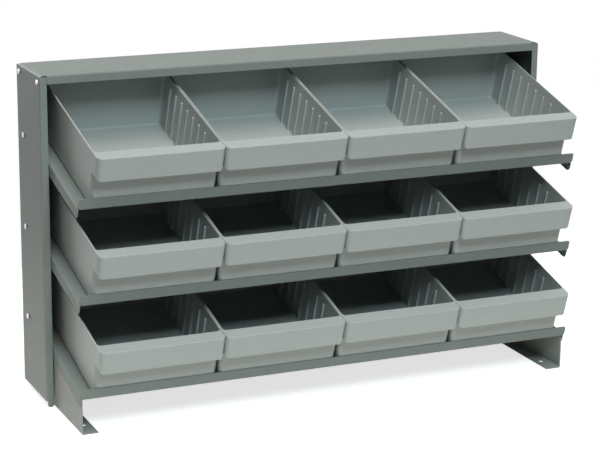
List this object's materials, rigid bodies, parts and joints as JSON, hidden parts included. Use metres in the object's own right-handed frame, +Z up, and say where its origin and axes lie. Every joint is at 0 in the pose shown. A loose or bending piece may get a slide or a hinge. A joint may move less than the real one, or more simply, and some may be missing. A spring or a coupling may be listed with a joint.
{
  "type": "bench rack with drawers",
  "caption": "Steel bench rack with sloping shelves that hold moulded hooded drawers behind upturned lips; each drawer tips up at the front to lift out.",
  "frame": {"origin": "centre of the overall box, on the surface that the rack stands on", "axes": "+X along the rack to the right as seen from the drawers' side, +Y to the back, +Z up"},
  "size_m": [0.92, 0.326, 0.5588],
  "materials": {
    "rack_steel": "satin grey enamel on folded sheet",
    "drawer_plastic": "fine satin moulded surface",
    "zinc": "bright zinc plate"
  },
  "bodies": {
    "rack": {"left_upright": "rack_steel", "right_upright": "rack_steel", "back_panel": "rack_steel", "top_cover": "rack_steel", "left_foot": "rack_steel", "right_foot": "rack_steel", "left_screws": "zinc", "right_screws": "zinc", "left_nuts": "zinc", "right_nuts": "zinc", "bottom_shelf": "rack_steel", "middle_shelf": "rack_steel", "top_shelf": "rack_steel"},
    "bottom_drawer_1": {"bottom_drawer_1": "drawer_plastic"},
    "bottom_drawer_2": {"bottom_drawer_2": "drawer_plastic"},
    "bottom_drawer_3": {"bottom_drawer_3": "drawer_plastic"},
    "bottom_drawer_4": {"bottom_drawer_4": "drawer_plastic"},
    "middle_drawer_1": {"middle_drawer_1": "drawer_plastic"},
    "middle_drawer_2": {"middle_drawer_2": "drawer_plastic"},
    "middle_drawer_3": {"middle_drawer_3": "drawer_plastic"},
    "middle_drawer_4": {"middle_drawer_4": "drawer_plastic"},
    "top_drawer_1": {"top_drawer_1": "drawer_plastic"},
    "top_drawer_2": {"top_drawer_2": "drawer_plastic"},
    "top_drawer_3": {"top_drawer_3": "drawer_plastic"},
    "top_drawer_4": {"top_drawer_4": "drawer_plastic"}
  },
  "joints": [
    {"name": "bottom_drawer_1_tip", "type": "hinge", "parent": "rack", "child": "bottom_drawer_1", "pos_m": [-0.3195, 0.13084, 0.1331], "axis": [-1, 0, 0], "range_deg": [0, 8]},
    {"name": "bottom_drawer_2_tip", "type": "hinge", "parent": "rack", "child": "bottom_drawer_2", "pos_m": [-0.1065, 0.13084, 0.1331], "axis": [-1, 0, 0], "range_deg": [0, 8]},
    {"name": "bottom_drawer_3_tip", "type": "hinge", "parent": "rack", "child": "bottom_drawer_3", "pos_m": [0.1065, 0.13084, 0.1331], "axis": [-1, 0, 0], "range_deg": [0, 8]},
    {"name": "bottom_drawer_4_tip", "type": "hinge", "parent": "rack", "child": "bottom_drawer_4", "pos_m": [0.3195, 0.13084, 0.1331], "axis": [-1, 0, 0], "range_deg": [0, 8]},
    {"name": "middle_drawer_1_tip", "type": "hinge", "parent": "rack", "child": "middle_drawer_1", "pos_m": [-0.3195, 0.13084, 0.2891], "axis": [-1, 0, 0], "range_deg": [0, 8]},
    {"name": "middle_drawer_2_tip", "type": "hinge", "parent": "rack", "child": "middle_drawer_2", "pos_m": [-0.1065, 0.13084, 0.2891], "axis": [-1, 0, 0], "range_deg": [0, 8]},
    {"name": "middle_drawer_3_tip", "type": "hinge", "parent": "rack", "child": "middle_drawer_3", "pos_m": [0.1065, 0.13084, 0.2891], "axis": [-1, 0, 0], "range_deg": [0, 8]},
    {"name": "middle_drawer_4_tip", "type": "hinge", "parent": "rack", "child": "middle_drawer_4", "pos_m": [0.3195, 0.13084, 0.2891], "axis": [-1, 0, 0], "range_deg": [0, 8]},
    {"name": "top_drawer_1_tip", "type": "hinge", "parent": "rack", "child": "top_drawer_1", "pos_m": [-0.3195, 0.13084, 0.4451], "axis": [-1, 0, 0], "range_deg": [0, 8]},
    {"name": "top_drawer_2_tip", "type": "hinge", "parent": "rack", "child": "top_drawer_2", "pos_m": [-0.1065, 0.13084, 0.4451], "axis": [-1, 0, 0], "range_deg": [0, 8]},
    {"name": "top_drawer_3_tip", "type": "hinge", "parent": "rack", "child": "top_drawer_3", "pos_m": [0.1065, 0.13084, 0.4451], "axis": [-1, 0, 0], "range_deg": [0, 8]},
    {"name": "top_drawer_4_tip", "type": "hinge", "parent": "rack", "child": "top_drawer_4", "pos_m": [0.3195, 0.13084, 0.4451], "axis": [-1, 0, 0], "range_deg": [0, 8]}
  ]
}
